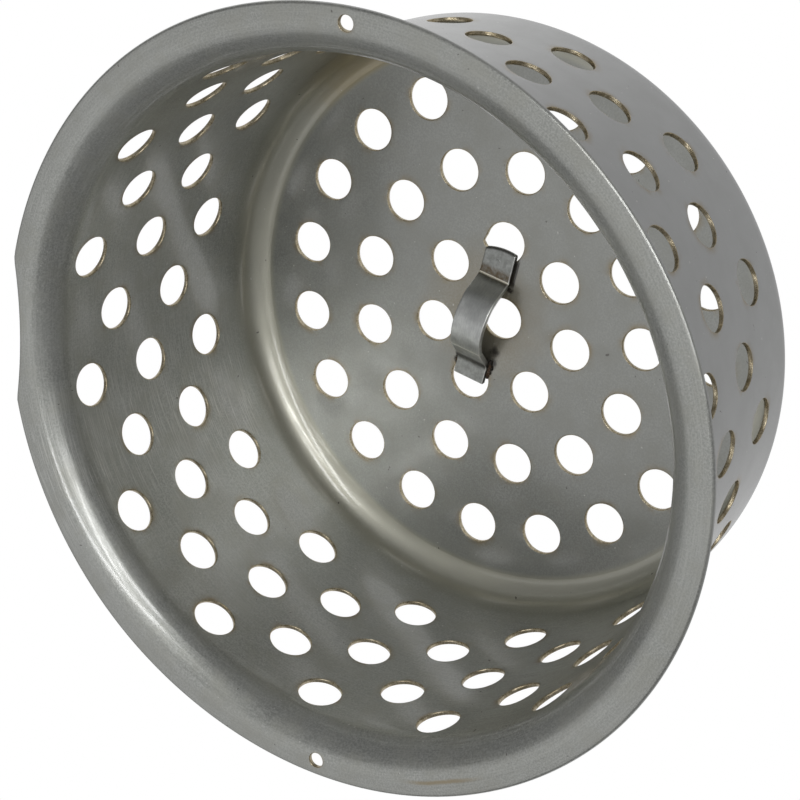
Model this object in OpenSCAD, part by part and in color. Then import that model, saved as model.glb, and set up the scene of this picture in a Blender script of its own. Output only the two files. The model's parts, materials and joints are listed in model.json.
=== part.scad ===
// Drop-in strainer basket: one perforated pressing with a strip handle welded to its base.
// Origin at the centre of the base's underside, +Z towards the mouth, handle along X. Millimetres.

/* [Basket] */
// Outside diameter of the flange
flange_d = 172; // [170:0.5:180]
// Height from the underside of the base to the top of the flange
height = 74.7; // [72:0.1:84]
// Thickness of the sheet
sheet = 1; // [0.8:0.1:1.4]
// Diameter of the wall's middle surface where it would reach the flange's top
mouth_d = 151.1; // [149:0.1:152]
// Draft of the wall, in degrees from upright
draft = 3.26; // [2.5:0.01:4]
// Radius of the bend between the wall and the flange, on its upper side
lip_r = 8; // [6:0.5:8.5]
// Inside radius of the corner between the wall and the base
corner_r = 7; // [4:0.5:8]
// Angle of the crease where the corner meets the flat base
crease = 8; // [2:1:12]

/* [Perforations] */
// Diameter of the punched holes
hole_d = 10; // [8:0.1:10.2]
// Number of rings of holes round the one in the middle of the base
rings = 3; // [1:1:3]
// Number of holes in the innermost ring
ring_holes = 7; // [4:1:8]
// Number of holes that each ring has more than the one inside it
ring_more = 6; // [4:1:6]
// Radius of the innermost ring
ring_r = 18.4; // [18:0.1:19]
// Distance from one ring to the next
ring_pitch = 17.6; // [16:0.1:18]
// Angle of each ring's first hole
ring_phase = [12.86, 5.86, 17.47]; // [0:0.01:60]
// Number of rows of holes in the wall
rows = 5; // [1:1:5]
// Number of holes in each row of the wall
row_holes = 15; // [8:1:18]
// Depth of the first row below the top of the flange
row_first = 13; // [12.5:0.1:15]
// Distance from one row to the next
row_pitch = 10.3; // [10.2:0.1:10.8]
// Angle of the first row's first hole
row_phase = 17.04; // [0:0.01:24]

/* [Flange] */
// Diameter of the two small holes
pin_hole_d = 3.5; // [2:0.1:3.8]
// Diameter of the circle that the small holes lie on
pin_circle_d = 164.8; // [164:0.1:166]
// Angle of the first small hole
pin_angle = 11.05; // [0:0.05:30]
// Depth of the shallow notch in the flange's edge
notch_depth = 3; // [1:0.1:3.5]
// Radius of the notch's curve
notch_r = 112; // [60:1:150]
// Angle of the middle of the notch
notch_angle = 101.4; // [90:0.1:120]

/* [Handle] */
// Width of the handle strip
strip_w = 8; // [6:0.1:9]
// Thickness of the handle strip
strip_t = 1.2; // [1:0.1:1.4]
// Distance of the strip's middle line from the basket's axis
strip_y = 4.1; // [0:0.1:6]
// Length of the foot at the +X end
foot_fore = 6.6; // [5:0.1:7]
// Length of the foot at the -X end
foot_aft = 4.7; // [4:0.1:6]
// Distance between the two bends where the arch meets the feet
span = 22.1; // [20:0.1:24]
// X position of the bend at the +X foot
bend_x = 9.3; // [9:0.1:10]
// Height of the arch above the tops of the feet
rise = 7.7; // [7:0.1:9]
// Radius of the rounded end of the +X foot
foot_end_r = 9; // [7:0.5:20]

/* [Welds] */
// Diameter of the spot weld under the +X foot
spot_d = 3.2; // [2:0.1:3.4]
// Depth that the spot weld reaches into each sheet
spot_bite = 0.4; // [0.2:0.05:0.5]
// Distance of the spot weld from the bend at the +X foot
spot_in = 1.9; // [1.8:0.1:2]
// Leg of the weld beads beside the -X foot
bead_leg = 1.1; // [0.6:0.1:1.1]
// Length of the weld beads beside the -X foot
bead_l = 3.4; // [2:0.1:3.6]
// Distance of the beads' middle beyond the bend at the -X foot
bead_out = 0.5; // [0:0.1:0.6]

/* [Hidden] */
$fn = 96;
flange_r = flange_d / 2;
nx = cos(draft);                               // the wall's outward normal is [nx, -nz]
nz = sin(draft);
slope = tan(draft);                            // widening of the wall per millimetre of height
half_sheet = sheet / 2 / cos(draft);           // half the sheet, measured level through the wall
axis_in = mouth_d / 2 - height * slope;        // wall's middle surface at the underside of the base
lip_low = lip_r - sheet;                       // bend radius on the flange's underside
lip_z = height - lip_r;                        // centre of the lip's bend
lip_x = wall_out(lip_z) + lip_low / cos(draft);
corner_out = corner_r + sheet;
corner_z = sheet + corner_r * cos(crease);     // centre of the base corner's curve
corner_x = wall_in(corner_z) - corner_r / cos(draft);
crease_r = corner_x + corner_r * sin(crease);  // where the corner meets the flat inside
flat_r = corner_x + sqrt(corner_out * corner_out - corner_z * corner_z);
notch_x = flange_r - notch_depth + notch_r;
foot_x0 = bend_x - span - foot_aft;            // end of the -X foot
foot_x1 = bend_x + foot_fore;                  // end of the +X foot
arch_x = bend_x - span / 2;
arch_r = (pow(span / 2, 2) + rise * rise) / 2 / rise;  // outside radius that gives the span and rise
arch_z = sheet + strip_t + rise - arch_r;
spot_x = bend_x + spot_in;
foot_sagitta = sqrt(pow(foot_end_r, 2) - pow(strip_w / 2, 2));  // foot's end to the middle of its curve

// Level distance from the axis to the wall's outer and inner surfaces at height z
function wall_out(z) = axis_in + z * slope + half_sheet;
function wall_in(z) = axis_in + z * slope - half_sheet;

// Area between two straight edges and the curve that rounds them
module spandrel(centre, radius, start, corner, end) {
    difference() {
        polygon([centre, start, corner, end]);
        translate(centre) circle(radius);
    }
}

// Half section of everything inside the pressing's outer surface
module outer_section() {
    lip = [lip_x, lip_z];
    base = [corner_x, corner_z];
    difference() {
        polygon([
            [0, 0], [wall_out(0), 0], lip + lip_low * [-nx, nz], lip, lip + [0, lip_low],
            [flange_r, height - sheet], [flange_r, height], [0, height],
        ]);
        translate(lip) circle(lip_low);
        spandrel(base, corner_out, [flat_r, 0], [wall_out(0), 0], base + corner_out * [nx, -nz]);
    }
}

// Half section of the space inside the pressing, without the flare of its lip
module inner_section() {
    base = [corner_x, corner_z];
    difference() {
        polygon([[0, sheet], [wall_in(sheet), sheet], [wall_in(height + 1), height + 1], [0, height + 1]]);
        spandrel(base, corner_r, [crease_r, sheet], [wall_in(sheet), sheet], base + corner_r * [nx, -nz]);
    }
}

// Half section of the sheet
module shell_section() {
    lip = [lip_x, lip_z];
    difference() {
        outer_section();
        inner_section();
        spandrel(lip, lip_r, lip + lip_r * [-nx, nz], [wall_in(height), height], lip + [0, lip_r]);
    }
}

// Punched holes of the base: one in the middle and the rings round it
module base_holes() {
    translate([0, 0, -1]) cylinder(d = hole_d, h = sheet + 2);
    for (ring = [0 : rings - 1]) {
        holes = ring_holes + ring * ring_more;
        for (k = [0 : holes - 1])
            rotate(ring_phase[ring] + k * 360 / holes)
                translate([ring_r + ring * ring_pitch, 0, -1]) cylinder(d = hole_d, h = sheet + 2);
    }
}

// Punched holes of the wall, square to its surface, each row half a pitch round from the last
module wall_holes() {
    for (row = [0 : rows - 1], k = [0 : row_holes - 1]) {
        z = height - row_first - row * row_pitch;
        rotate(row_phase + (k + row % 2 / 2) * 360 / row_holes)
            translate([axis_in + z * slope, 0, z]) rotate([0, 90 + draft, 0])
                cylinder(d = hole_d, h = 6 * sheet, center = true);
    }
}

// Two small opposite holes of the flange
module pin_holes() {
    for (side = [0, 180])
        rotate(pin_angle + side)
            translate([pin_circle_d / 2, 0, height - lip_r]) cylinder(d = pin_hole_d, h = lip_r + 1);
}

// One deep-drawn, perforated pressing: flange, wall and base
module basket_shell() {
    color("silver") difference() {
        rotate_extrude() shell_section();
        base_holes();
        wall_holes();
        pin_holes();
        rotate(notch_angle) translate([notch_x, 0, height - sheet - 1])
            cylinder(r = notch_r, h = sheet + 2, $fn = 360);
        spot();
    }
}

// Side view of the strip: a round arch that stands on the base, and its two flat feet
module strip_section() {
    intersection() {
        translate([arch_x, arch_z]) difference() {
            circle(arch_r);
            circle(arch_r - strip_t);
        }
        translate([foot_x0, sheet]) square([foot_x1 - foot_x0, rise + 2 * strip_t]);
    }
    translate([foot_x0, sheet]) square([foot_aft + strip_t / 4, strip_t]);
    translate([bend_x - strip_t / 4, sheet]) square([foot_fore + 2 * strip_t, strip_t]);
}

// Bent strip handle, standing on the base
module lift_strap() {
    color("lightslategray") difference() {
        translate([0, strip_y + strip_w / 2, 0]) rotate([90, 0, 0])
            linear_extrude(strip_w) strip_section();
        difference() {
            translate([foot_x1 - 1, strip_y - strip_w, 0]) cube([4, 2 * strip_w, 4 * strip_t]);
            translate([foot_x1 - foot_sagitta, strip_y, -1]) cylinder(r = foot_end_r, h = 4 * strip_t + 2);
        }
        spot();
    }
}

// Fused slug of the spot weld, half in the foot and half in the base
module spot() {
    translate([spot_x, strip_y, sheet - spot_bite]) cylinder(d = spot_d, h = 2 * spot_bite);
}

module spot_weld() {
    color("sienna") spot();
}

// Bead in the corner between the base and one edge of the -X foot; side is 1 for +Y
module bead(side) {
    translate([bend_x - span - bead_out, strip_y + side * strip_w / 2, sheet])
        rotate([0, 90, 0]) intersection() {
            cylinder(r = bead_leg, h = bead_l, center = true);
            translate([-2 * bead_leg, side > 0 ? 0 : -2 * bead_leg, -bead_l])
                cube([2 * bead_leg, 2 * bead_leg, 2 * bead_l]);
        }
}

module bead_weld_left() {
    color("rosybrown") bead(1);
}

module bead_weld_right() {
    color("rosybrown") bead(-1);
}

basket_shell();
lift_strap();
spot_weld();
bead_weld_left();
bead_weld_right();
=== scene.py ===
import json
from math import cos, pi, radians, sin, tan

import bmesh
import bpy
import numpy as np
from mathutils import Matrix, Vector, noise


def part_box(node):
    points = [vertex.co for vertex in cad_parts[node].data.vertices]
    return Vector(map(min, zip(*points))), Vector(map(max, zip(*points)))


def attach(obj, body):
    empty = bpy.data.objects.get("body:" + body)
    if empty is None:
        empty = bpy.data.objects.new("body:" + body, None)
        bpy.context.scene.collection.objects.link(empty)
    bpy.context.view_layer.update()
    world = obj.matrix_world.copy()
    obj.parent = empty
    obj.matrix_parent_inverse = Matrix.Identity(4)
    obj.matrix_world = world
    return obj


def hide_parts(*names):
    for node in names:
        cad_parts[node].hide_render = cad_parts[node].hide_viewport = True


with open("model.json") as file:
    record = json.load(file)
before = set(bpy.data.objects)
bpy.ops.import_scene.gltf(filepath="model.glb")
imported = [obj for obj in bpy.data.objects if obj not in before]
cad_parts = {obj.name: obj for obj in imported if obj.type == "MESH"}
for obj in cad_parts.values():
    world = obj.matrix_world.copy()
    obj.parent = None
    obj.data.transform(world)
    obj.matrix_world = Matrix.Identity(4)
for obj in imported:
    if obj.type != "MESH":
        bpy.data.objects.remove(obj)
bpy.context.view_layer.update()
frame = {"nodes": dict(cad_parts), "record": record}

MM = 0.001
RNG = np.random.default_rng(7)

# ---------------------------------------------------------------- sizes, in mm

shell_low, shell_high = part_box("basket_shell")
strap_low, strap_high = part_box("lift_strap")
mounts = {m["name"]: m for m in frame["record"]["mounts"]}

HEIGHT = shell_high.z / MM                      # flange top above the base's underside
FLANGE_R = round((shell_high.x - shell_low.x) / MM) / 2
SHEET = HEIGHT - mounts["flange_seat"]["pos_m"][2] / MM
PIN_CIRCLE_R = mounts["flange_holes"]["dims"]["pcd_mm"] / 2
PIN_R = mounts["flange_holes"]["dims"]["hole_r_mm"]
MOUTH_R = 75.55                                 # wall's middle surface, carried up to the flange top
DRAFT = radians(3.26)
LIP_R = 8.0                                     # bend from wall to flange, on its upper side
CORNER_R = 7.0                                  # corner from base to wall, on its inner side
CREASE = radians(8)                             # sharp turn where the flat base ends
CREASE_R = 0.5
HOLE_R = 5.0
BASE_RINGS = ((7, 18.4, 12.86), (13, 36.0, 5.86), (19, 53.6, 17.47))   # holes, radius, first angle
ROWS = 5
ROW_HOLES = 15
ROW_FIRST = 13.0                                # depth of the first row below the flange top
ROW_PITCH = 10.3
ROW_PHASE = 17.04
PIN_ANGLE = 11.05
NOTCH_DEPTH, NOTCH_R, NOTCH_ANGLE = 3.0, 112.0, 101.4

STRAP_Y = (strap_low.y + strap_high.y) / 2 / MM
STRAP_W = (strap_high.y - strap_low.y) / MM
STRAP_T = 1.2
BEND_X = 9.3                                    # bend between the strap's arch and its +X foot
FOOT_END_R = 14.0                               # rounded end of the +X foot
FOOT_END_Y = -1.5                               # middle of that end's curve, from the strap's middle line
BITE = (-5.0, 0.75, 11.0)                       # nick in one hole's edge: direction, depth, spread

SIDE = 12                                       # mesh steps along one side of a hole's cell
COLUMNS = 2 * ROW_HOLES
RIM_STEPS = COLUMNS * SIDE                      # mesh steps round the basket
MERGE = 0.004 * MM                              # vertices nearer than this become one


# ---------------------------------------------------------------- the sheet's profile

class Profile:
    """Mouth-side line of the sheet from the axis out to the rim, by the distance s along it."""

    def __init__(self, start, steps):
        self.parts = []  # (s, r, z, heading, length, turn)
        s, r, z, heading = 0.0, start[0], start[1], 0.0
        for length, turn in steps:
            self.parts.append((s, r, z, heading, length, turn))
            r, z = self._walk(r, z, heading, length, turn, length)
            s, heading = s + length, heading + turn
        self.end = s

    @staticmethod
    def _walk(r, z, heading, length, turn, d):
        """The point at distance d along a straight line or an arc."""
        if abs(turn) < 1e-9:
            return r + d * np.cos(heading), z + d * np.sin(heading)
        radius = length / turn
        now = heading + turn * d / length
        return r + radius * (np.sin(now) - np.sin(heading)), z - radius * (np.cos(now) - np.cos(heading))

    def at(self, s, depth):
        """Radius and height at s, depth below the mouth-side surface into the sheet."""
        s = np.asarray(s, float)
        r, z, heading = np.zeros_like(s), np.zeros_like(s), np.zeros_like(s)
        for s0, r0, z0, h0, length, turn in self.parts:
            on = s >= s0 - 1e-9
            d = s[on] - s0
            if s0 + length < self.end - 1e-9:
                d = np.minimum(d, length)
            r[on], z[on] = self._walk(r0, z0, h0, length, turn, d)
            heading[on] = h0 + turn * np.minimum(d / length, 1)
        return r + depth * np.sin(heading), z - depth * np.cos(heading)

    def start_of(self, part):
        """Distance s at which a part of the line begins."""
        return self.parts[part][0]


def sheet_profile():
    """Flat base, crease, corner, wall, lip and flange."""
    steep = pi / 2 - DRAFT
    z_corner = SHEET + CREASE_R * (1 - cos(CREASE)) + CORNER_R * (cos(CREASE) - cos(steep))
    wall_r = MOUTH_R - (HEIGHT - z_corner) * tan(DRAFT) - SHEET / 2 / cos(DRAFT)
    floor = wall_r - CORNER_R * (sin(steep) - sin(CREASE)) - CREASE_R * sin(CREASE)
    wall = (HEIGHT - z_corner - LIP_R * (1 - cos(steep))) / sin(steep)
    lip_end = wall_r + wall * cos(steep) + LIP_R * sin(steep)
    return Profile((0.0, SHEET), [
        (floor, 0), (CREASE_R * CREASE, CREASE), (CORNER_R * (steep - CREASE), steep - CREASE),
        (wall, 0), (LIP_R * steep, -steep), (FLANGE_R - lip_end, 0),
    ])


PROFILE = sheet_profile()
WALL_S = PROFILE.start_of(3)
WALL_Z = float(PROFILE.at(WALL_S, 0.0)[1])
FLAT_FLANGE_S = PROFILE.start_of(5)


def wall_s(depth):
    """Distance along the profile to a depth below the flange top, on the wall."""
    return WALL_S + (HEIGHT - depth - WALL_Z) / cos(DRAFT)


def rim_radius(angle):
    """Radius of the flange's outer edge: slightly out of round, with one shallow notch."""
    a = np.asarray(angle, float)
    plain = (FLANGE_R + 0.22 * np.cos(a - radians(205)) + 0.1 * np.sin(3 * a + 0.6)
             + 0.05 * np.sin(7 * a + 2.0))
    off = np.arctan2(np.sin(a - radians(NOTCH_ANGLE)), np.cos(a - radians(NOTCH_ANGLE)))
    centre = FLANGE_R - NOTCH_DEPTH + NOTCH_R
    inside = np.clip(NOTCH_R ** 2 - (centre * np.sin(off)) ** 2, 0, None)
    notch = centre * np.cos(off) - np.sqrt(inside)
    away = np.abs(off) > radians(20)  # here the notch's circle doesn't count
    notch = np.where(away, plain + 20, notch)
    soft = np.where(off < 0, 0.16, 0.06)  # one end of the notch runs out more softly
    return plain - soft * np.log1p(np.exp(np.clip((plain - notch) / soft, -60, 60)))


# ---------------------------------------------------------------- mesh assembly

class Builder:
    """Collects vertices and faces as arrays. Vertices are given as s, angle and depth in the sheet."""

    def __init__(self):
        self.s, self.a, self.d, self.halo = [], [], [], []
        self.faces, self.kinds = [], []
        self.count = 0

    def add(self, s, a, d, halo=0.0):
        """New vertices. Returns their numbers."""
        s = np.asarray(s, float)
        ids = np.arange(self.count, self.count + s.size).reshape(s.shape)
        for store, value in ((self.s, s), (self.a, a), (self.d, d), (self.halo, halo)):
            store.append(np.broadcast_to(np.asarray(value, float), s.shape).ravel())
        self.count += s.size
        return ids

    def quads(self, rows, closed, kind=0, flip=False):
        """Faces between neighbouring rows of vertex numbers."""
        rows = [np.asarray(r) for r in rows]
        for lower, upper in zip(rows[:-1], rows[1:]):
            if closed:
                b, c = np.roll(lower, -1), np.roll(upper, -1)
                quad = np.stack([lower, b, c, upper], 1)
            else:
                quad = np.stack([lower[:-1], lower[1:], upper[1:], upper[:-1]], 1)
            if flip:
                quad = quad[:, ::-1]
            self.faces.append(quad)
            self.kinds.append(np.full(len(quad), kind))

    def zip(self, inner, outer, inner_a, outer_a, flip=False):
        """Triangles between two closed rings that have different numbers of vertices."""
        i = j = 0
        ni, nj = len(inner), len(outer)
        start_j = int(np.argmin(np.abs(np.angle(np.exp(1j * (outer_a - inner_a[0]))))))
        unroll_i = np.unwrap(np.append(inner_a, inner_a[0]))
        unroll_i[-1] = unroll_i[0] + 2 * pi
        order = np.roll(outer, -start_j)
        angles = np.roll(outer_a, -start_j)
        unroll_j = np.unwrap(np.append(angles, angles[0] + 2 * pi))
        unroll_j += 2 * pi * round((unroll_i[0] - unroll_j[0]) / (2 * pi))
        unroll_j[-1] = unroll_j[0] + 2 * pi
        made = []
        while i < ni or j < nj:
            if j >= nj or (i < ni and unroll_i[i + 1] < unroll_j[j + 1]):
                made.append((inner[i % ni], inner[(i + 1) % ni], order[j % nj]))
                i += 1
            else:
                made.append((inner[i % ni], order[(j + 1) % nj], order[j % nj]))
                j += 1
        tri = np.array(made)
        self.faces.append(tri[:, ::-1] if flip else tri)
        self.kinds.append(np.zeros(len(tri), int))

    def mesh(self, name):
        s, a, d = (np.concatenate(x) for x in (self.s, self.a, self.d))
        r, z = PROFILE.at(s, d)
        co = np.stack([r * np.cos(a), r * np.sin(a), z], 1)
        attributes = {"halo": np.concatenate(self.halo), "outside": d / SHEET}
        return make_mesh(name, co, self.faces, self.kinds, attributes)


def make_mesh(name, co_mm, face_arrays, kinds=None, attributes=None):
    """A mesh object from coordinates in mm and arrays of triangles and quads, with doubles merged."""
    loops = np.concatenate([f.ravel() for f in face_arrays]).astype(np.int32)
    sizes = np.concatenate([np.full(len(f), f.shape[1]) for f in face_arrays]).astype(np.int32)
    mesh = bpy.data.meshes.new(name)
    mesh.vertices.add(len(co_mm))
    mesh.vertices.foreach_set("co", (np.asarray(co_mm) * MM).astype(np.float32).ravel())
    mesh.loops.add(len(loops))
    mesh.loops.foreach_set("vertex_index", loops)
    mesh.polygons.add(len(sizes))
    mesh.polygons.foreach_set("loop_start", np.concatenate([[0], np.cumsum(sizes)[:-1]]).astype(np.int32))
    mesh.polygons.foreach_set("loop_total", sizes)
    if kinds is not None:
        mesh.polygons.foreach_set("material_index", np.concatenate(kinds).astype(np.int32))
    mesh.polygons.foreach_set("use_smooth", np.ones(len(sizes), bool))
    for key, values in (attributes or {}).items():
        mesh.attributes.new(key, "FLOAT", "POINT").data.foreach_set("value", values.astype(np.float32))
    mesh.update(calc_edges=True)
    mesh.validate()
    obj = bpy.data.objects.new(name, mesh)
    bpy.context.scene.collection.objects.link(obj)
    merge_doubles(mesh)
    return obj


def merge_doubles(mesh):
    """Joins the patches of a mesh at their borders and turns all its faces outwards."""
    bm = bmesh.new()
    bm.from_mesh(mesh)
    bmesh.ops.remove_doubles(bm, verts=bm.verts, dist=MERGE)
    bmesh.ops.recalc_face_normals(bm, faces=bm.faces)
    bm.to_mesh(mesh)
    bm.free()


# ---------------------------------------------------------------- the pressing

# Section of a punched hole's edge from the mouth side to the outside: growth of the radius, depth in
# the sheet as a share of its thickness, and how much of the tear's roughness shows there
HOLE_EDGE = (
    (0.14, 0.0, 0), (0.06, 0.01, 0), (0.0, 0.045, 0), (-0.08, 0.12, 0), (-0.10, 0.42, 0.3),
    (-0.08, 0.50, 1), (-0.06, 0.72, 1), (-0.04, 0.92, 0.6), (0.0, 0.985, 0.2), (0.08, 1.0, 0),
)
LEDGE_END = 0.7                                 # down to this share of the depth the tear's line wanders
CELL_STEPS = (0.0, 0.1, 0.26, 0.5, 0.76, 1.0)   # rings from the hole's edge out to its cell's edge
HALO = 1.6                                      # the stain round a hole fades over this distance, in mm
PIN_EDGE = 0.6                                  # size of a small hole's edge beside a large hole's


def periodic_noise(n, waves, size):
    """Smooth closed noise of n values."""
    a = np.linspace(0, 2 * pi, n, endpoint=False)
    total = sum(RNG.normal() / w ** 0.5 * np.sin(w * a + RNG.uniform(0, 2 * pi)) for w in waves)
    return size * total / len(waves) ** 0.5


def cell_border(half_x, half_y):
    """Points round a rectangle, SIDE steps to each side, counter-clockwise from its lower left corner."""
    t = np.linspace(-1, 1, SIDE, endpoint=False)
    one = np.ones(SIDE)
    x = np.concatenate([t, one, -t, -one]) * half_x
    y = np.concatenate([-one, t, one, -t]) * half_y
    return x, y


def hole_cell(b, s0, a0, radius_here, border_x, border_y, bite=None):
    """A hole and the sheet round it, on both faces. Local x runs round the axis, y along the profile."""
    n = len(border_x)
    ray = np.unwrap(np.arctan2(border_y, border_x))
    even = ray[0] + np.linspace(0, 2 * pi, n, endpoint=False)
    ray = (ray + even) / 2
    ragged = periodic_noise(n, (2, 3, 5, 8, 11), 0.03)  # the tear's roughness, in mm
    ledge = periodic_noise(n, (2, 3, 4, 6), 0.07)  # wander of its line, as a share of the thickness
    extra = np.zeros(n)
    if bite is not None:
        angle, deep, wide = bite
        off = np.degrees(np.angle(np.exp(1j * (ray - radians(angle)))))
        extra = deep * np.exp(-(off / wide) ** 2)

    def ring(x, y, depth, halo):
        return b.add(s0 + y, a0 + x / radius_here, depth, halo)

    edge = []
    for grow, depth, rough in HOLE_EDGE:
        radius = HOLE_R + extra + grow + rough * ragged
        level = np.clip(depth + ledge * (rough if depth < LEDGE_END else 0), 0, 1) * SHEET
        edge.append(ring(radius * np.cos(ray), radius * np.sin(ray), level, 1.0))
    b.quads(edge, True, kind=1, flip=True)
    for depth, end, flip in ((0.0, 0, False), (SHEET, -1, True)):
        start = HOLE_R + extra + HOLE_EDGE[end][0]
        rows = [edge[end]]
        for share in CELL_STEPS[1:]:
            x = (1 - share) * start * np.cos(ray) + share * border_x
            y = (1 - share) * start * np.sin(ray) + share * border_y
            gap = np.hypot(x, y) - HOLE_R
            rows.append(ring(x, y, depth, np.exp(-gap / HALO)))
        b.quads(rows, True, flip=flip)


def plain_block(b, s_values, angles, closed=False):
    """A part of the sheet with no hole, on both faces."""
    for depth, flip in ((0.0, False), (SHEET, True)):
        rows = [b.add(np.full(len(angles), s), angles, depth) for s in s_values]
        b.quads(rows, closed, flip=flip)


def build_wall(b):
    """Columns of cells: every second column holds the odd rows, half a cell up."""
    half = ROW_PITCH / cos(DRAFT)
    low = wall_s(ROW_FIRST + (ROWS - 1) * ROW_PITCH) - half
    high = wall_s(ROW_FIRST) + half
    wide = 2 * pi / COLUMNS
    for column in range(COLUMNS):
        a0 = radians(ROW_PHASE) + column * wide
        for row in range(column % 2, ROWS, 2):
            s0 = wall_s(ROW_FIRST + row * ROW_PITCH)
            here = float(PROFILE.at(s0, SHEET / 2)[0])
            x, y = cell_border(wide / 2 * here, half)
            hole_cell(b, s0, a0, here, x, y)
        if column % 2:
            a = a0 + np.linspace(-wide / 2, wide / 2, SIDE + 1)
            steps = np.linspace(0, half, SIDE // 2 + 1)
            plain_block(b, low + steps, a)
            plain_block(b, high - half + steps, a)
    return low, high


def circle_angles(n, phase):
    """n even angles round the circle, the first one at phase."""
    return phase + np.linspace(0, 2 * pi, n, endpoint=False)


def build_base(b, wall_low):
    """Rings of cells on the flat base, joined by narrow strips, and the corner up to the wall's cells."""
    strip = 0.3  # half width of a strip between two rings
    inside, outside = 8.1, 8.6  # from the first ring in to its edge, from the last one out
    radii = [ring_r for _, ring_r, _ in BASE_RINGS]
    edges = [radii[0] - inside]
    edges += [(p + q) / 2 for p, q in zip(radii[:-1], radii[1:])]
    edges += [radii[-1] + outside]
    built = None  # outer edge of what is built so far: radius and angles
    for index, (count, ring_r, phase) in enumerate(BASE_RINGS):
        wide = 2 * pi / count
        low = edges[index] + (strip if index else 0)
        high = edges[index + 1] - strip
        angles = circle_angles(count * SIDE, radians(phase) - wide / 2)
        if built is None:
            centre_hole(b, low, angles)
        else:
            zip_rings(b, built, (low, angles))
        t = np.linspace(-1, 1, SIDE, endpoint=False)
        one = np.ones(SIDE)
        da = np.concatenate([t, one, -t, -one]) * wide / 2
        r = np.concatenate([low * one, low + (t + 1) / 2 * (high - low), high * one,
                            high - (t + 1) / 2 * (high - low)])
        for k in range(count):
            bite = BITE if index == 0 and k == 0 else None
            flat_cell(b, ring_r, radians(phase) + k * wide, r, da, bite)
        built = (high, angles)
    rim = rim_angles()
    outer_r = edges[-1]
    zip_rings(b, built, (outer_r, rim))
    crease_s, corner_s = PROFILE.start_of(1), PROFILE.start_of(2)
    s_values = np.concatenate([  # mesh rows of the base's edge, crease, corner and wall
        np.linspace(outer_r, crease_s, 4)[:-1], np.linspace(crease_s, corner_s, 4)[:-1],
        np.linspace(corner_s, WALL_S, 19)[:-1], np.linspace(WALL_S, wall_low, 4),
    ])
    plain_block(b, s_values, rim, closed=True)


def rim_angles():
    """The angles that every closed ring of the wall, corner and lip uses."""
    wide = 2 * pi / COLUMNS
    return circle_angles(RIM_STEPS, radians(ROW_PHASE) - wide / 2)


def zip_rings(b, inner, outer):
    """The sheet between two rings of the flat base, each given as its radius and angles, on both faces."""
    for depth, flip in ((0.0, False), (SHEET, True)):
        ids = [b.add(np.full(len(a), r), a, depth) for r, a in (inner, outer)]
        b.zip(ids[0], ids[1], inner[1], outer[1], flip=flip)


class FlatPatch:
    """Takes local x across and y outwards round a point of the flat base, in place of angles."""

    def __init__(self, b, ring_r, a0):
        self.b, self.ring_r, self.a0 = b, ring_r, a0
        self.quads = b.quads

    def add(self, y, x, depth, halo=0.0):
        out = self.ring_r + np.asarray(y)
        x = np.asarray(x)
        return self.b.add(np.hypot(out, x), self.a0 + np.arctan2(x, out), depth, halo)


class CentrePatch:
    """Takes x and y from the middle of the flat base, in place of angles. Its faces turn the other way."""

    def __init__(self, b):
        self.b = b

    def add(self, y, x, depth, halo=0.0):
        return self.b.add(np.hypot(x, y), np.arctan2(y, x), depth, halo)

    def quads(self, rows, closed, kind=0, flip=False):
        self.b.quads(rows, closed, kind, not flip)


def flat_cell(b, ring_r, a0, border_r, border_da, bite):
    """A hole in the flat base. The cell's border follows two arcs and two radii."""
    x = border_r * np.sin(border_da)
    y = border_r * np.cos(border_da) - ring_r
    hole_cell(FlatPatch(b, ring_r, a0), 0.0, 0.0, 1.0, x, y, bite)


def centre_hole(b, outer_r, angles):
    """The middle hole and the plain ring round it."""
    hole_cell(CentrePatch(b), 0.0, 0.0, 1.0, outer_r * np.cos(angles), outer_r * np.sin(angles))


def build_lip_and_flange(b, wall_high):
    """Lip and flange as closed rings, with a block left open for each small hole, and the round rim."""
    angles = rim_angles()
    lip_top = FLAT_FLANGE_S - 4.4  # leaves room for the small holes' blocks
    plain_block(b, np.linspace(wall_high, lip_top, 18), angles, closed=True)
    round_top, round_low = 0.62, 0.30  # rounding of the rim's two edges
    r_flat = float(PROFILE.at(FLAT_FLANGE_S, 0)[0])
    rim_s = FLAT_FLANGE_S + rim_radius(angles) - r_flat
    band = 12  # mesh rows across the flange
    shares = np.linspace(0, 1, band + 1)
    block = 3  # half width of a small hole's block, in mesh steps
    block_low, block_high = 1, band - 1
    for depth, flip in ((0.0, False), (SHEET, True)):
        inset = round_low if depth else round_top
        rows = [b.add(lip_top + share * (rim_s - inset - lip_top), angles, depth) for share in shares]
        for low, (row, above) in enumerate(zip(rows[:-1], rows[1:])):
            quad = np.stack([row, np.roll(row, -1), np.roll(above, -1), above], 1)
            keep = np.ones(len(row), bool)
            if block_low <= low < block_high:
                for centre in pin_columns(angles):
                    keep[[(centre + k) % len(row) for k in range(-block, block)]] = False
            quad = quad[keep]
            b.faces.append(quad[:, ::-1] if flip else quad)
            b.kinds.append(np.zeros(len(quad), int))
    arc = np.linspace(0, pi / 2, 6)
    rim_rows = [b.add(rim_s - round_top * (1 - sin(t)), angles, round_top * (1 - cos(t))) for t in arc]
    rim_rows += [
        b.add(rim_s - round_low * (1 - cos(t)), angles, SHEET - round_low * (1 - sin(t))) for t in arc
    ]
    b.quads(rim_rows, True)
    for centre in pin_columns(angles):
        pin_cell(b, angles, centre, block, lip_top, rim_s, shares[block_low], shares[block_high],
                 block_high - block_low, (round_top, round_low))


def pin_columns(angles):
    """The mesh columns that the two small holes are centred on."""
    found = []
    for side in (0, pi):
        off = np.angle(np.exp(1j * (angles - radians(PIN_ANGLE) - side)))
        found.append(int(np.argmin(np.abs(off))))
    return found


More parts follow.
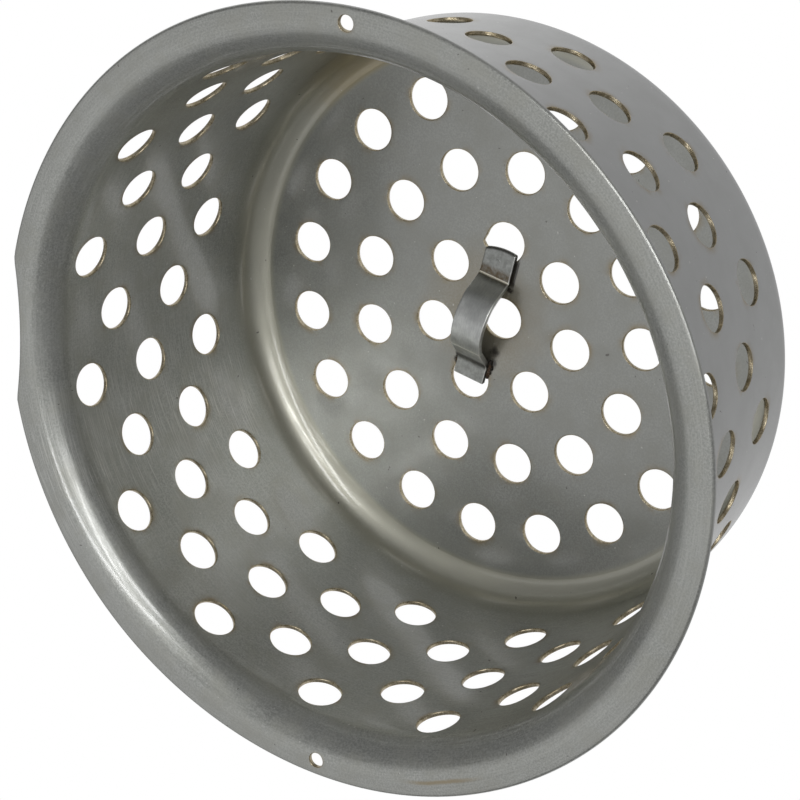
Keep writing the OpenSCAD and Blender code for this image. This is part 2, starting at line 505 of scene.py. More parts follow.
def pin_cell(b, angles, centre, block, s_low, rim_s, share_low, share_high, steps, insets):
    """One small hole, fitted to the open block of the flange's mesh on each face."""
    n = len(angles)
    a0 = angles[centre]
    r_flat = float(PROFILE.at(FLAT_FLANGE_S, 0)[0])
    s0 = FLAT_FLANGE_S + PIN_CIRCLE_R - r_flat
    columns = [(centre + k) % n for k in range(-block, block + 1)]
    first, last = columns[0], columns[-1]
    borders = []
    for inset in insets:
        top = {c: s_low + share_high * (rim_s[c] - inset - s_low) for c in columns}
        low = {c: s_low + share_low * (rim_s[c] - inset - s_low) for c in columns}
        path = [(c, low[c]) for c in columns[:-1]]
        path += [(last, low[last] + (top[last] - low[last]) * k / steps) for k in range(steps)]
        path += [(c, top[c]) for c in columns[:0:-1]]
        path += [(first, top[first] - (top[first] - low[first]) * k / steps) for k in range(steps)]
        da = np.array([np.angle(np.exp(1j * (angles[c] - a0))) for c, _ in path])
        borders.append((da * PIN_CIRCLE_R, np.array([s for _, s in path]) - s0))
    x0, y0 = borders[0]
    ray = np.unwrap(np.arctan2(y0, x0))
    even = ray[0] + np.linspace(0, 2 * pi, len(ray), endpoint=False)
    ray = (ray + even) / 2
    edge = []
    for grow, depth, _ in HOLE_EDGE:
        radius = PIN_R + grow * PIN_EDGE
        edge.append(b.add(s0 + radius * np.sin(ray), a0 + radius * np.cos(ray) / PIN_CIRCLE_R,
                          depth * SHEET, 0.6))
    b.quads(edge, True, kind=1, flip=True)
    for depth, end, (bx, by), flip in ((0.0, 0, borders[0], False), (SHEET, -1, borders[1], True)):
        start = PIN_R + HOLE_EDGE[end][0] * PIN_EDGE
        rows = [edge[end]]
        for share in (0.35, 0.7, 1.0):
            x = (1 - share) * start * np.cos(ray) + share * bx
            y = (1 - share) * start * np.sin(ray) + share * by
            rows.append(b.add(s0 + y, a0 + x / PIN_CIRCLE_R, depth, 0.2))
        b.quads(rows, True, flip=flip)


def build_shell():
    """The whole pressing as one mesh."""
    b = Builder()
    low, high = build_wall(b)
    build_base(b, low)
    build_lip_and_flange(b, high)
    return b.mesh("basket_pressing")


# ---------------------------------------------------------------- the strap and its welds

def strap_profile():
    """Upper line of the strap from its +X end to its -X end; the first coordinate is -x."""
    fore, crown, aft = radians(56), radians(35), radians(48.5)  # slopes of the legs and the crown's ends
    bend, knee, top, crease, fold = 0.4, 6.5, 11.2, 1.4, 1.5  # radii on the upper side, from +X to -X
    foot_z = SHEET + STRAP_T
    rise = strap_high.z / MM - foot_z - top * (1 - cos(crown))
    fore_leg = (rise - bend * (1 - cos(fore)) - knee * (cos(crown) - cos(fore))) / sin(fore)
    aft_leg = (rise - crease * (cos(crown) - cos(aft)) - fold * (1 - cos(aft))) / sin(aft)
    steps = [
        (strap_high.x / MM - BEND_X - bend * tan(fore / 2), 0), (bend * fore, fore), (fore_leg, 0),
        (knee * (fore - crown), crown - fore), (2 * crown * top, -2 * crown),
        (crease * (aft - crown), crown - aft), (aft_leg, 0), (fold * aft, aft),
    ]
    start = (-strap_high.x / MM, foot_z)
    so_far = Profile(start, steps + [(1, 0)])
    reach = float(so_far.at(so_far.start_of(len(steps)), 0.0)[0])
    return Profile(start, steps + [(-strap_low.x / MM - reach, 0)])


def strip_loop(inset):
    """The strip's rounded section as one closed loop: offsets from its middle line, and depths."""
    across, corner = 26, 5  # mesh steps
    upper, lower = max(0.05, 0.24 - inset * 0.7), max(0.04, 0.16 - inset * 0.4)  # radii of its edges
    half = STRAP_W / 2 - inset
    t = np.linspace(0, pi / 2, corner)
    opening, closing = 1 - np.cos(t), 1 - np.sin(t)
    flat = np.linspace(-1, 1, across)[1:-1]
    y = np.concatenate([-half + upper * opening, flat * (half - upper), half - upper * closing])
    d = np.concatenate([upper * closing, flat * 0, upper * opening]) + inset
    y_low = np.concatenate([half - lower * opening, -flat * (half - lower), -half + lower * closing])
    d_low = STRAP_T - inset - np.concatenate([lower * closing, flat * 0, lower * opening])
    return np.concatenate([y, y_low]), np.concatenate([d, d_low])


def build_strap():
    """The bent strip: its rounded section swept along the profile, a little wider at two of its bends."""
    path = strap_profile()
    foot = path.start_of(1)
    fore_end, aft_end = 0.55, 0.26  # rounding of the two cut ends
    stations = [np.linspace(0, foot, 24)]
    for part, count in enumerate((9, 14, 7, 34, 8, 16, 12, 18), 1):  # mesh steps along each bend and leg
        start = path.start_of(part)
        stop = path.start_of(part + 1) if part < 8 else path.end
        stations.append(np.linspace(start, stop, count + 1)[1:])
    stations = np.concatenate(stations)
    stations = stations[(stations > fore_end * 1.3) & (stations < path.end - aft_end * 1.5)]
    phis = np.linspace(0, pi / 2, 6)
    rows = [(fore_end * (1 - sin(phi)), fore_end * (1 - cos(phi))) for phi in phis[::-1]]
    rows += [(x, 0.0) for x in stations]
    rows += [(path.end - aft_end * (1 - sin(phi)), aft_end * (1 - cos(phi))) for phi in phis]
    bulges = ((0.1, foot), (0.16, path.start_of(7) + 0.6))  # width gained at the fore bend and the aft leg
    points, ids = [], []
    for s, inset in rows:
        y, d = strip_loop(inset)
        side = y / (STRAP_W / 2)
        bulge = sum(size * np.exp(-((s - centre) / 0.9) ** 2) for size, centre in bulges)
        wave = 0.03 * noise.noise((s * 0.35, 0.0, 5.0)) + 0.02 * noise.noise((s * 1.3, 0.0, 8.0))
        y_out = y * (1 + (wave + bulge * (1 - d / STRAP_T)) / (STRAP_W / 2) * np.abs(side) ** 3)
        back = FOOT_END_R - np.sqrt(FOOT_END_R ** 2 - (y - FOOT_END_Y) ** 2) if s < foot else 0 * y
        along = np.where(s < foot, back + s * (foot - back) / foot, s)
        r, z = path.at(along, d)
        ids.append(np.arange(len(y)) + len(points) * len(y))
        points.append(np.stack([-r, STRAP_Y + y_out, z], 1))
    faces = [np.stack([a, np.roll(a, -1), np.roll(b, -1), b], 1) for a, b in zip(ids[:-1], ids[1:])]
    half = len(ids[0]) // 2
    for row in (ids[0], ids[-1]):
        back = row[::-1]
        faces.append(np.stack([row[:half - 1], row[1:half], back[1:half], back[:half - 1]], 1))
    return make_mesh("strap", np.concatenate(points), faces)


def build_bead(name, x0, x1, y0, y1, half_width, height, seed):
    """A lumpy run of weld on the base from (x0, y0) to (x1, y1), tapered at both ends."""
    along, around = 54, 18  # mesh steps
    sunk = 0.03  # depth of the weld's edge in the base
    rows, ids = [], []
    for i in range(along + 1):
        t = i / along
        full = max(0.02, sin(pi * t) ** 0.45)
        lump = 1 + 0.5 * noise.noise((t * 6.0, 0.0, seed)) + 0.25 * noise.noise((t * 15.0, 3.0, seed))
        x = x0 + (x1 - x0) * t
        y = y0 + (y1 - y0) * t + 0.35 * noise.noise((t * 4.0, 7.0, seed))
        phi = np.linspace(0, pi, around)
        rough = np.array([1 + 0.3 * noise.noise((t * 22.0, p * 1.6, seed + 2)) for p in phi])
        section_y = y + half_width * full * lump * np.cos(phi) * rough
        section_z = SHEET - sunk + height * full * lump * np.sin(phi) ** 0.8 * rough
        rows.append(np.stack([np.full(around, x), section_y, section_z], 1))
        ids.append(np.arange(around) + i * around)
    faces = [np.stack([a, np.roll(a, -1), np.roll(b, -1), b], 1) for a, b in zip(ids[:-1], ids[1:])]
    faces += [row[None, :] for row in (ids[0][::-1], ids[-1])]
    return make_mesh(name, np.concatenate(rows), faces)


# ---------------------------------------------------------------- materials

SHEET_DARK = (0.382, 0.392, 0.366)
SHEET_LIGHT = (0.455, 0.466, 0.438)
SHEET_WARM = (0.445, 0.442, 0.380)
SHEET_GRAIN = (0.585, 0.595, 0.565)
SHEET_LINE = (0.72, 0.73, 0.69)
# warm tint and painted highlight on the corner between base and wall
CORNER_TINT_AND_HIGHLIGHT = (0.56, 0.55, 0.45)
# dark drawn lines in the wall, and painted shade on the base
DRAWN_LINE_AND_SHADE = (0.29, 0.295, 0.275)
SHEET_OUTSIDE = (0.460, 0.465, 0.468)
STRIP_DARK = (0.58, 0.595, 0.585)
STRIP_LIGHT = (0.72, 0.735, 0.72)
STAIN = (0.36, 0.28, 0.15)
OLD_STAIN = (0.43, 0.35, 0.18)
# near black for burnt marks, and for painted shade and shadow on the sheet and the strap
BURNT_AND_SHADE = (0.022, 0.015, 0.009)
SPECK = (0.75, 0.75, 0.72)
PIT = (0.12, 0.11, 0.10)
STRIP_STREAK = (0.34, 0.34, 0.34)
STRIP_FOOT = (0.27, 0.278, 0.262)
STRIP_TINT = (0.15, 0.11, 0.065)
# painted shade on the +X foot's cut end
STRIP_END_SHADE = (0.10, 0.095, 0.085)
# painted highlight on the fore bend
STRIP_PAINTED_HIGHLIGHT = (0.97, 0.92, 0.78)
# painted glints on the strap's crease and top edge
STRIP_PAINTED_GLINT = (0.85, 0.85, 0.82)
# black weld scale, partly painted shadow in the gap beside the strap
SCALE_BLACK_AND_SHADOW = (0.012, 0.011, 0.010)
SCALE_RUST = (0.085, 0.045, 0.02)
WELD_BARE = (0.42, 0.40, 0.37)
EDGE_DARK = (0.38, 0.32, 0.21)
EDGE_LIGHT = (0.58, 0.51, 0.37)
EDGE_BRIGHT = (0.74, 0.70, 0.58)

# Middles of the marks on the sheet and the strap, seen from above, in mm
SCRATCHES = (-42, 60)                           # bright lines in the wall
DRAWN_LINES = (-53, -50)                        # dark lines in the wall
OLD_STAIN_SPOT = (43, 49)                       # brown patch in the corner
FLANGE_STREAK = (-69.5, -46)                    # brown line along the flange
STREAK_R = 83.0                                 # distance of that line from the axis
# burnt marks on the base round the strap's feet, partly painted shadow beside the strap
BIG_BURN_AND_SHADOW = (-8.8, -0.4)
SMALL_BURNS_AND_SHADOWS = ((-11.6, -0.6, 1.9), (7.6, 0.0, 1.1), (-14.6, 8.6, 1.1), (-13.2, 8.7, 1.0))   # x, y, reach
AFT_KNEE_X, AFT_FOLD_X = -7.75, -12.6           # where the strap turns above and at its -X foot
ROUND_R = 75.0                                  # noise that runs round the axis has its true size here


class Nodes:
    """Short way to write a node tree. Positions are in millimetres."""

    def __init__(self, name):
        self.material = bpy.data.materials.new(name)
        self.material.use_nodes = True
        self.tree = self.material.node_tree
        self.shader = self.tree.nodes["Principled BSDF"]
        coord = self.new("ShaderNodeTexCoord")
        scale = self.new("ShaderNodeVectorMath", operation="SCALE")
        self.link(coord.outputs["Object"], scale.inputs[0])
        scale.inputs["Scale"].default_value = 1 / MM
        self.mm = scale.outputs["Vector"]

    def new(self, kind, **settings):
        node = self.tree.nodes.new(kind)
        for key, value in settings.items():
            setattr(node, key, value)
        return node

    def link(self, source, target):
        self.tree.links.new(source, target)

    def feed(self, value, target):
        """Gives a socket a fixed value or another node's output."""
        if isinstance(value, (int, float, tuple)):
            target.default_value = value
        else:
            self.link(value, target)

    def math(self, operation, a, b=0.0):
        node = self.new("ShaderNodeMath", operation=operation)
        for value, target in zip((a, b), node.inputs):
            self.feed(value, target)
        return node.outputs[0]

    def noise(self, size, detail=3.0, rough=0.55, vector=None, distortion=0.0):
        """Noise from 0 to 1 with features about size millimetres across."""
        node = self.new("ShaderNodeTexNoise")
        self.link(vector or self.mm, node.inputs["Vector"])
        node.inputs["Scale"].default_value = 1 / size
        node.inputs["Detail"].default_value = detail
        node.inputs["Roughness"].default_value = rough
        node.inputs["Distortion"].default_value = distortion
        return node.outputs["Fac"]

    def stretch(self, value, low, high, to_low=0.0, to_high=1.0):
        """to_low where value is low and to_high where it is high, with a smooth change between."""
        node = self.new("ShaderNodeMapRange", interpolation_type="SMOOTHSTEP", clamp=True)
        self.link(value, node.inputs["Value"])
        for key, v in (("From Min", low), ("From Max", high), ("To Min", to_low), ("To Max", to_high)):
            node.inputs[key].default_value = v
        return node.outputs["Result"]

    def band(self, value, middle, inner, outer, most=1.0):
        """most where value is within inner of middle, and 0 beyond outer."""
        off = self.math("ABSOLUTE", self.math("SUBTRACT", value, middle))
        return self.stretch(off, inner, outer, most, 0.0)

    def mix(self, share, a, b):
        """The colour a, and in its place the share of the colour b."""
        node = self.new("ShaderNodeMix", data_type="RGBA")
        self.feed(share, node.inputs["Factor"])
        for value, target in ((a, node.inputs[6]), (b, node.inputs[7])):
            if isinstance(value, tuple):
                target.default_value = (*value, 1.0)
            else:
                self.link(value, target)
        return node.outputs[2]

    def attribute(self, name):
        node = self.new("ShaderNodeAttribute")
        node.attribute_name = name
        return node.outputs["Fac"]

    def axes(self):
        split = self.new("ShaderNodeSeparateXYZ")
        self.link(self.mm, split.inputs[0])
        return split.outputs

    def round_the_axis(self, along, across):
        """A position by angle and profile, so that noise can run round the axis, and the radius."""
        x, y, z = self.axes()
        radius = self.math("ADD", self.math("MULTIPLY", x, x), self.math("MULTIPLY", y, y))
        radius = self.math("SQRT", radius)
        join = self.new("ShaderNodeCombineXYZ")
        self.link(self.math("MULTIPLY", self.math("ARCTAN2", y, x), ROUND_R / along), join.inputs[0])
        self.link(self.math("DIVIDE", self.math("ADD", z, radius), across), join.inputs[1])
        return join.outputs[0], radius

    def spot(self, place, inner, outer, wobble=0.0, size=2.0):
        """1 within inner mm of the upright line at a place (x, y), 0 beyond outer, with a wavy border."""
        flat = self.new("ShaderNodeVectorMath", operation="MULTIPLY")
        self.link(self.mm, flat.inputs[0])
        flat.inputs[1].default_value = (1, 1, 0)
        far = self.new("ShaderNodeVectorMath", operation="DISTANCE")
        self.link(flat.outputs[0], far.inputs[0])
        far.inputs[1].default_value = (*place, 0)
        distance = far.outputs["Value"]
        if wobble:
            shift = self.math("MULTIPLY", self.math("SUBTRACT", self.noise(size, 4, 0.65), 0.5), 2 * wobble)
            distance = self.math("ADD", distance, shift)
        return self.stretch(distance, inner, outer, 1.0, 0.0)

    def bump(self, height, distance_mm, strength, after=None):
        node = self.new("ShaderNodeBump")
        node.inputs["Distance"].default_value = distance_mm * MM
        node.inputs["Strength"].default_value = strength
        self.link(height, node.inputs["Height"])
        if after is not None:
            self.link(after, node.inputs["Normal"])
        return node.outputs["Normal"]


def sheet_tone(n, z, cloud, patch, grain, lines):
    """The clean sheet: clouds, drawing lines in the wall, grain and warm patches, and painted shade that
    darkens it near the base.
    """
    wall = n.stretch(z, 6, 14)
    bright = n.math("ADD", 0.25, n.math("MULTIPLY", n.spot(SCRATCHES, 4, 24, 5, 8), 0.75))
    bright = n.math("MULTIPLY", bright, n.stretch(lines, 0.50, 0.62))
    dark = n.math("ADD", 0.2, n.math("MULTIPLY", n.spot(DRAWN_LINES, 6, 28, 5, 8), 0.6))
    dark = n.math("MULTIPLY", dark, n.stretch(lines, 0.47, 0.33))
    colour = n.mix(n.stretch(cloud, 0.35, 0.65), SHEET_DARK, SHEET_LIGHT)
    colour = n.mix(n.math("MULTIPLY", wall, bright), colour, SHEET_LINE)
    colour = n.mix(n.math("MULTIPLY", wall, dark), colour, DRAWN_LINE_AND_SHADE)
    colour = n.mix(n.stretch(grain, 0.38, 0.66, 0.0, 0.8), colour, SHEET_GRAIN)
    colour = n.mix(n.stretch(patch, 0.42, 0.68, 0.0, 0.35), colour, SHEET_WARM)
    colour = n.mix(n.math("MULTIPLY", n.attribute("outside"), 0.8), colour, SHEET_OUTSIDE)
    # painted shade: darker on the base and the foot of the corner, where the bottom of the basket is shaded
    return n.mix(n.stretch(z, 1.2, 7.0, 0.42, 0.0), colour, DRAWN_LINE_AND_SHADE)


def sheet_stains(n, colour, z, radius, inner):
    """Stains round the holes and in the corner, a warm tint with a painted highlight on the corner, the
    flange's brown line, and the tint under the strap.
    """
    stain = n.math("MULTIPLY", n.stretch(n.attribute("halo"), 0.25, 1.0),
                   n.stretch(n.noise(6, 3), 0.42, 0.72, 0.0, 0.85))
    colour = n.mix(stain, colour, STAIN)
    corner = n.math("MULTIPLY", n.stretch(radius, 63.6, 65.4), n.stretch(z, 9.5, 4))
    corner = n.math("MULTIPLY", corner, inner)
    # warm tint and painted highlight: the corner is lightened to stand in for the light it catches
    colour = n.mix(n.math("MULTIPLY", corner, 0.75), colour, CORNER_TINT_AND_HIGHLIGHT)
    old = n.math("MULTIPLY", corner, n.spot(OLD_STAIN_SPOT, 4, 22, 5, 6))
    colour = n.mix(n.math("MULTIPLY", old, 0.75), colour, OLD_STAIN)
    wavy = n.math("ADD", radius, n.math("MULTIPLY", n.noise(5, 3), 0.8))
    streak = n.math("MULTIPLY", n.spot(FLANGE_STREAK, 3, 12, 3, 4), n.band(wavy, STREAK_R, 0.1, 0.75))
    streak = n.math("MULTIPLY", streak, n.stretch(z, 73, 74))
    colour = n.mix(n.math("MULTIPLY", streak, 0.8), colour, STAIN)
    tint = n.math("MULTIPLY", n.spot((0, STRAP_Y), 7, 20, 6, 9), 0.4)
    return n.mix(n.math("MULTIPLY", tint, inner), colour, STAIN)


def sheet_burns_and_shadow(n, inner):
    """1 on the burnt marks round the strap's feet, which are partly painted shadow, and on the painted
    shadow along the strap's -Y edge.
    """
    x, y, _ = n.axes()
    burn_and_shadow = n.spot(BIG_BURN_AND_SHADOW, 0.4, 1.9, 1.3, 1.6)
    for middle_x, middle_y, reach in SMALL_BURNS_AND_SHADOWS:
        burn_and_shadow = n.math("MAXIMUM", burn_and_shadow, n.spot((middle_x, middle_y), 0.2, reach, 1.2, 1.3))
    # painted shadow: a dark band on the base along the strap's -Y edge beside its +X foot
    along_edge = n.band(y, STRAP_Y - STRAP_W / 2 - 0.25, 0.5, 0.75)
    beside = n.math("MULTIPLY", along_edge, n.band(x, BEND_X + 2.3, 2.6, 4.2, 0.9))
    return n.math("MULTIPLY", n.math("MAXIMUM", burn_and_shadow, beside), inner)


def sheet_steel():
    """Pickled satin sheet: a bright skin over the stained and burnt metal, with specks and pits, painted
    shade on the base, painted shadow beside the strap and a painted highlight in the corner.
    """
    n = Nodes("pickled_sheet")
    n.shader.inputs["Metallic"].default_value = 1.0
    n.shader.inputs["Coat Weight"].default_value = 1.0
    n.shader.inputs["Coat Roughness"].default_value = 0.14
    n.shader.inputs["Coat IOR"].default_value = 1.8
    z = n.axes()[2]
    ring, radius = n.round_the_axis(9.0, 0.35)
    cloud = n.noise(28, 3)
    patch = n.noise(7, 4)
    grain = n.noise(0.45, 2, 0.7)
    lines = n.noise(1.0, 3, 0.6, vector=ring)
    inner = n.math("SUBTRACT", 1.0, n.attribute("outside"))
    burn_and_shadow = sheet_burns_and_shadow(n, inner)
    colour = sheet_tone(n, z, cloud, patch, grain, lines)
    colour = sheet_stains(n, colour, z, radius, inner)
    # burnt marks, partly painted shadow beside the strap, mixed towards near black
    colour = n.mix(n.math("MULTIPLY", burn_and_shadow, 0.93), colour, BURNT_AND_SHADE)
    colour = n.mix(n.stretch(n.noise(0.9, 1, 0.4), 0.77, 0.82, 0.0, 0.8), colour, SPECK)
    colour = n.mix(n.stretch(n.noise(1.4, 1, 0.4, distortion=0.5), 0.205, 0.18, 0.0, 0.8), colour, PIT)
    n.link(colour, n.shader.inputs["Base Color"])
    rough = n.math("ADD", n.stretch(cloud, 0.3, 0.7, 0.38, 0.45), n.stretch(patch, 0.3, 0.7, -0.03, 0.04))
    rough = n.math("ADD", rough, n.stretch(grain, 0.3, 0.7, -0.05, 0.05))
    rough = n.math("ADD", rough, n.math("MULTIPLY", burn_and_shadow, 0.2))
    n.link(rough, n.shader.inputs["Roughness"])
    normal = n.bump(cloud, 0.35, 0.35)
    normal = n.bump(lines, 0.006, 0.5, after=normal)
    normal = n.bump(grain, 0.04, 0.8, after=normal)
    n.link(normal, n.shader.inputs["Normal"])
    return n.material


def strip_steel():
    """The strap: brushed strip, heat-tinted beside the fore bend, with painted shade in its folds, on its
    feet's side edges and on its cut end, and painted highlights along the fore bend, the crease above the
    -X leg and the -Y top edge.
    """
    n = Nodes("brushed_strip")
    n.shader.inputs["Metallic"].default_value = 1.0
    x, y, z = n.axes()
    lengthwise = n.new("ShaderNodeVectorMath", operation="MULTIPLY")
    n.link(n.mm, lengthwise.inputs[0])
    lengthwise.inputs[1].default_value = (0.12, 1.0, 0.12)
    streak = n.noise(0.16, 3, 0.6, vector=lengthwise.outputs[0])
    cloud = n.noise(3.5, 3)
    grain = n.noise(0.4, 2, 0.7)
    colour = n.mix(n.stretch(cloud, 0.35, 0.65), STRIP_DARK, STRIP_LIGHT)
    colour = n.mix(n.stretch(streak, 0.4, 0.7, 0.0, 0.3), colour, STRIP_STREAK)
    feet = n.math("MULTIPLY", n.stretch(z, 2.6, 4.2, 1.0, 0.0),
                  n.stretch(n.noise(1.3, 3, 0.65), 0.3, 0.65, 0.9, 0.5))
    colour = n.mix(feet, colour, STRIP_FOOT)
    tint = n.math("MULTIPLY", n.band(x, BEND_X + 0.9, 0.7, 2.0),
                  n.stretch(n.noise(0.8, 3, 0.7), 0.3, 0.6, 0.45, 1.0))
    colour = n.mix(n.math("MULTIPLY", tint, 0.9), colour, STRIP_TINT)
    # painted shade: the +X foot's rounded cut end darkened
    end_middle = (strap_high.x / MM - FOOT_END_R, STRAP_Y + FOOT_END_Y)
    end = n.math("SUBTRACT", 1.0, n.spot(end_middle, FOOT_END_R - 0.75, FOOT_END_R - 0.4, 0.15, 1.0))
    colour = n.mix(n.math("MULTIPLY", end, n.stretch(x, 14, 15, 0.0, 0.7)), colour, STRIP_END_SHADE)
    uneven_z = n.math("ADD", z, n.math("MULTIPLY", cloud, 0.6))
    # painted shade: the feet's side edges, the fold at the -X foot and the leg above the fore bend are
    # darkened towards near black
    edges = n.stretch(n.math("ABSOLUTE", n.math("SUBTRACT", y, STRAP_Y)), 3.8, 3.98)
    shaded_foot_edges = n.math("MULTIPLY", n.stretch(uneven_z, 2.35, 2.5, 1.0, 0.0), edges)
    dark = n.math("MAXIMUM", shaded_foot_edges, n.band(x, AFT_FOLD_X, 0.2, 1.7, 0.8))
    dark = n.math("MAXIMUM", dark, n.band(x, BEND_X - 0.7, 0.2, 2.6, 0.12))
    dark = n.math("MULTIPLY", dark, n.stretch(n.noise(0.7, 3), 0.2, 0.6, 0.6, 1.0))
    colour = n.mix(n.math("MULTIPLY", dark, 0.8), colour, BURNT_AND_SHADE)
    top = n.stretch(z, 2.1, 2.16)
    # painted highlight: a bright line across the top of the fore bend, where the concave bend catches the
    # light
    bright = n.math("MULTIPLY", n.band(x, BEND_X + 0.06, 0.12, 0.3), top)
    colour = n.mix(bright, colour, STRIP_PAINTED_HIGHLIGHT)
    # painted glints: bright lines on the crease between the crown and the -X leg and along the -Y top edge
    painted_glint = n.math("MAXIMUM", n.band(x, AFT_KNEE_X, 0.08, 0.25), n.band(y, STRAP_Y - 3.84, 0.08, 0.2, 0.75))
    colour = n.mix(n.math("MULTIPLY", painted_glint, top), colour, STRIP_PAINTED_GLINT)
    n.link(colour, n.shader.inputs["Base Color"])
    rough = n.math("ADD", n.stretch(streak, 0.3, 0.7, 0.28, 0.42), n.math("MULTIPLY", dark, 0.15))
    n.link(rough, n.shader.inputs["Roughness"])
    mark = n.math("MULTIPLY", n.spot((BEND_X + 4.0, STRAP_Y), 0.5, 0.75),
                  n.spot((BEND_X + 3.7, STRAP_Y), 0.9, 0.6))
    normal = n.bump(cloud, 0.12, 0.5)
    normal = n.bump(streak, 0.006, 0.6, after=normal)
    normal = n.bump(grain, 0.01, 0.5, after=normal)
    normal = n.bump(mark, 0.1, 0.8, after=normal)
    n.link(normal, n.shader.inputs["Normal"])
    return n.material


def weld_metal():
    """Burnt, unbrushed weld: black and rust-brown scale with bare specks. Its black is partly painted
    shadow in the gap beside the strap.
    """
    n = Nodes("weld_metal")
    tone = n.noise(0.9, 4, 0.7)
    fine = n.noise(0.3, 3, 0.7)
    bare = n.stretch(fine, 0.60, 0.66)
    colour = n.mix(n.stretch(tone, 0.45, 0.62), SCALE_BLACK_AND_SHADOW, SCALE_RUST)
    colour = n.mix(bare, colour, WELD_BARE)
    n.link(colour, n.shader.inputs["Base Color"])
    n.link(n.stretch(fine, 0.55, 0.66, 0.3, 1.0), n.shader.inputs["Metallic"])
    n.link(n.stretch(tone, 0.3, 0.7, 0.62, 0.38), n.shader.inputs["Roughness"])
    normal = n.bump(tone, 0.25, 0.8)
    n.link(n.bump(fine, 0.08, 0.7, after=normal), n.shader.inputs["Normal"])
    return n.material


def sheared_steel():
    """Walls of the punched holes: tan oxide over bright metal, streaked through the thickness."""
    n = Nodes("sheared_edge")
    n.shader.inputs["Metallic"].default_value = 1.0
    tone = n.noise(1.1, 3, 0.65)
    fine = n.noise(0.22, 2, 0.6)
    colour = n.mix(n.stretch(tone, 0.36, 0.62), EDGE_DARK, EDGE_LIGHT)
    colour = n.mix(n.stretch(fine, 0.55, 0.75, 0.0, 0.25), colour, EDGE_BRIGHT)
    n.link(colour, n.shader.inputs["Base Color"])
    n.link(n.stretch(fine, 0.3, 0.7, 0.22, 0.45), n.shader.inputs["Roughness"])
    n.link(n.bump(fine, 0.03, 0.7), n.shader.inputs["Normal"])
    return n.material


# ---------------------------------------------------------------- camera, light and floor

AIM = (11.23, -14.67, HEIGHT)                   # where the middle of the picture meets the flange's plane
VIEW_AZIMUTH, VIEW_ELEVATION, VIEW_DISTANCE = -39.23, 52.91, 448.6
VIEW_ROLL = 120.49
LENS, SENSOR = 100.17, 36.0
FLOOR_SIDE, FLOOR_Z = 8, -0.0005                # metres
FRONT_AZIMUTH = -55                             # the side on which the mirrored floor is shaded


def direction(azimuth, elevation):
    """Unit vector towards an azimuth and an elevation in degrees."""
    a, e = radians(azimuth), radians(elevation)
    return Vector((cos(e) * cos(a), cos(e) * sin(a), sin(e)))


def add_camera():
    """The camera, at its distance from AIM along its direction, turned about its own axis by the roll."""
    out = direction(VIEW_AZIMUTH, VIEW_ELEVATION)
    level_right = Vector((0, 0, 1)).cross(out).normalized()
    level_up = out.cross(level_right)
    roll = radians(VIEW_ROLL)
    up = level_up * cos(roll) + level_right * sin(roll)
    right = up.cross(out)
    data = bpy.data.cameras.new("camera")
    data.lens, data.sensor_width = LENS, SENSOR
    data.clip_start, data.clip_end = 0.01, 20.0
    camera = bpy.data.objects.new("camera", data)
    rotation = Matrix((right, up, out)).transposed()
    camera.matrix_world = Matrix.Translation((Vector(AIM) + out * VIEW_DISTANCE) * MM) @ rotation.to_4x4()
    bpy.context.scene.collection.objects.link(camera)
    bpy.context.scene.camera = camera


def add_light(name, azimuth, elevation, distance, size, power):
    """A square soft box that faces the basket. Distance and size are in metres, power in watts."""
    data = bpy.data.lights.new(name, "AREA")
    data.shape, data.size, data.energy = "SQUARE", size, power
    light = bpy.data.objects.new(name, data)
    out = direction(azimuth, elevation)
    light.location = out * distance + Vector((0, 0, HEIGHT / 2 * MM))
    light.rotation_euler = out.to_track_quat("Z", "Y").to_euler()
    bpy.context.scene.collection.objects.link(light)


def add_strip(name, start, end, width, power):
    """A long thin lamp from start to end, in metres from the basket's middle, that faces it."""
    start, end = Vector(start), Vector(end)
    data = bpy.data.lights.new(name, "AREA")
    data.shape, data.size, data.size_y, data.energy = "RECTANGLE", (end - start).length, width, power
    light = bpy.data.objects.new(name, data)
    middle, along = (start + end) / 2, (end - start).normalized()
    out = (middle - along * middle.dot(along)).normalized()
    light.matrix_world = Matrix((along, out.cross(along), out)).transposed().to_4x4()
    light.location = middle + Vector((0, 0, HEIGHT / 2 * MM))
    bpy.context.scene.collection.objects.link(light)


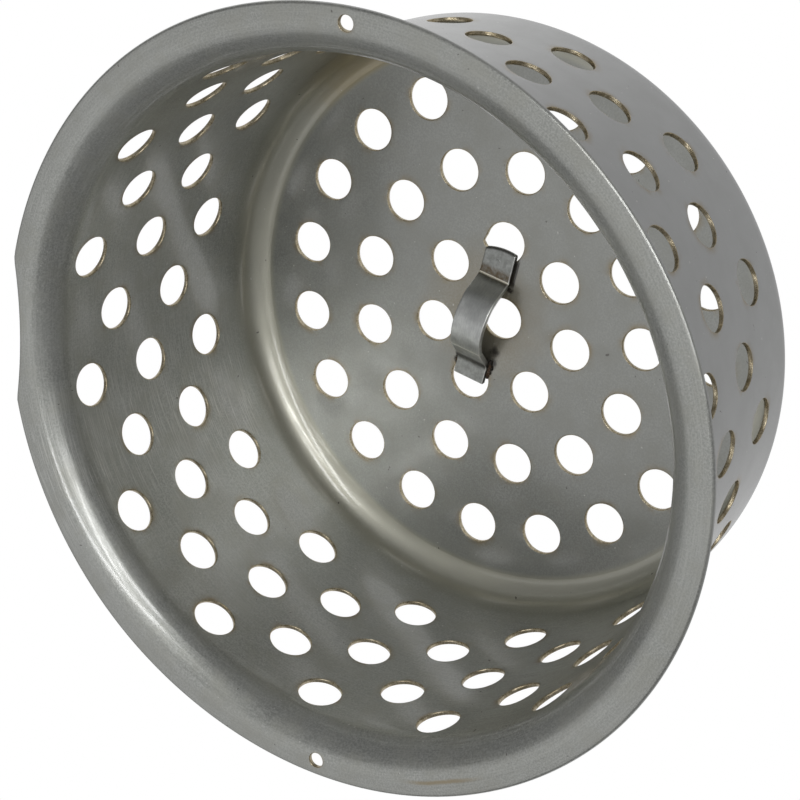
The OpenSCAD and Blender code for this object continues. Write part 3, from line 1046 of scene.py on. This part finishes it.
def add_floor():
    """A white floor for the camera. The steel mirrors a dimmer one in its place, shaded at the front."""
    for name, seen in (("floor", True), ("floor_bounce", False)):
        bpy.ops.mesh.primitive_plane_add(size=FLOOR_SIDE, location=(0, 0, FLOOR_Z))
        floor = bpy.context.object
        floor.name = name
        floor.visible_camera = seen
        floor.visible_glossy = floor.visible_diffuse = not seen
        n = Nodes(name)
        n.shader.inputs["Base Color"].default_value = (0, 0, 0, 1)
        n.shader.inputs["Specular IOR Level"].default_value = 0.0
        n.shader.inputs["Emission Color"].default_value = (1, 1, 1, 1)
        n.shader.inputs["Emission Strength"].default_value = 1.0
        if not seen:
            ahead = n.new("ShaderNodeVectorMath", operation="DOT_PRODUCT")
            n.link(n.mm, ahead.inputs[0])
            ahead.inputs[1].default_value = direction(FRONT_AZIMUTH, 0)
            shade = n.stretch(ahead.outputs["Value"], 10, 90, 0.66, 0.42)
            n.link(shade, n.shader.inputs["Emission Strength"])
        floor.data.materials.append(n.material)


def set_world(strength):
    world = bpy.data.worlds.new("studio")
    world.use_nodes = True
    background = world.node_tree.nodes["Background"]
    background.inputs["Color"].default_value = (1, 1, 1, 1)
    background.inputs["Strength"].default_value = strength
    bpy.context.scene.world = world


# ---------------------------------------------------------------- the scene

add_camera()
bpy.context.scene.view_settings.view_transform = "Standard"
set_world(0.21)
# Soft boxes: azimuth and elevation, distance, size, power. Strips: start, end, width, power.
add_light("back_softbox", 141, 52, 1.5, 1.2, 1.65)
add_light("front_softbox", -52, 55, 1.3, 0.6, 1.8)
add_strip("lip_strip", (-0.23, -0.05, 1.2), (0.72, -0.06, 1.2), 0.10, 1.8)
add_strip("cross_strip", (0.46, -0.8, 1.2), (0.46, -0.2, 1.2), 0.10, 0.95)
add_strip("corner_strip", (0.9, -0.6, 1.2), (1.5, -0.35, 1.2), 0.26, 2.3)
add_floor()

sheet, sheared = sheet_steel(), sheared_steel()
shell = build_shell()
shell.data.materials.append(sheet)
shell.data.materials.append(sheared)
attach(shell, "root")
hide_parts("basket_shell")

strip, weld = strip_steel(), weld_metal()
strap = build_strap()
strap.data.materials.append(strip)
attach(strap, "root")
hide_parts("lift_strap")

BEAD_AFT, BEAD_FORE = 2.9, 2.2                  # reach of the welds from the middle of the CAD's beads
for node, side, width, height in (("bead_weld_left", 1, 0.5, 0.75), ("bead_weld_right", -1, 0.75, 0.85)):
    low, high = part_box(node)
    middle, edge = (low.x + high.x) / 2 / MM, STRAP_Y + side * (STRAP_W / 2 + 0.2)
    bead = build_bead("weld_left" if side > 0 else "weld_right", middle - BEAD_AFT, middle + BEAD_FORE,
                      edge + 0.1 * side, edge, width, height, 11.0 + side)
    bead.data.materials.append(weld)
    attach(bead, "root")
    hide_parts(node)

slug = frame["nodes"]["spot_weld"]
slug.data.materials.clear()
slug.data.materials.append(weld)
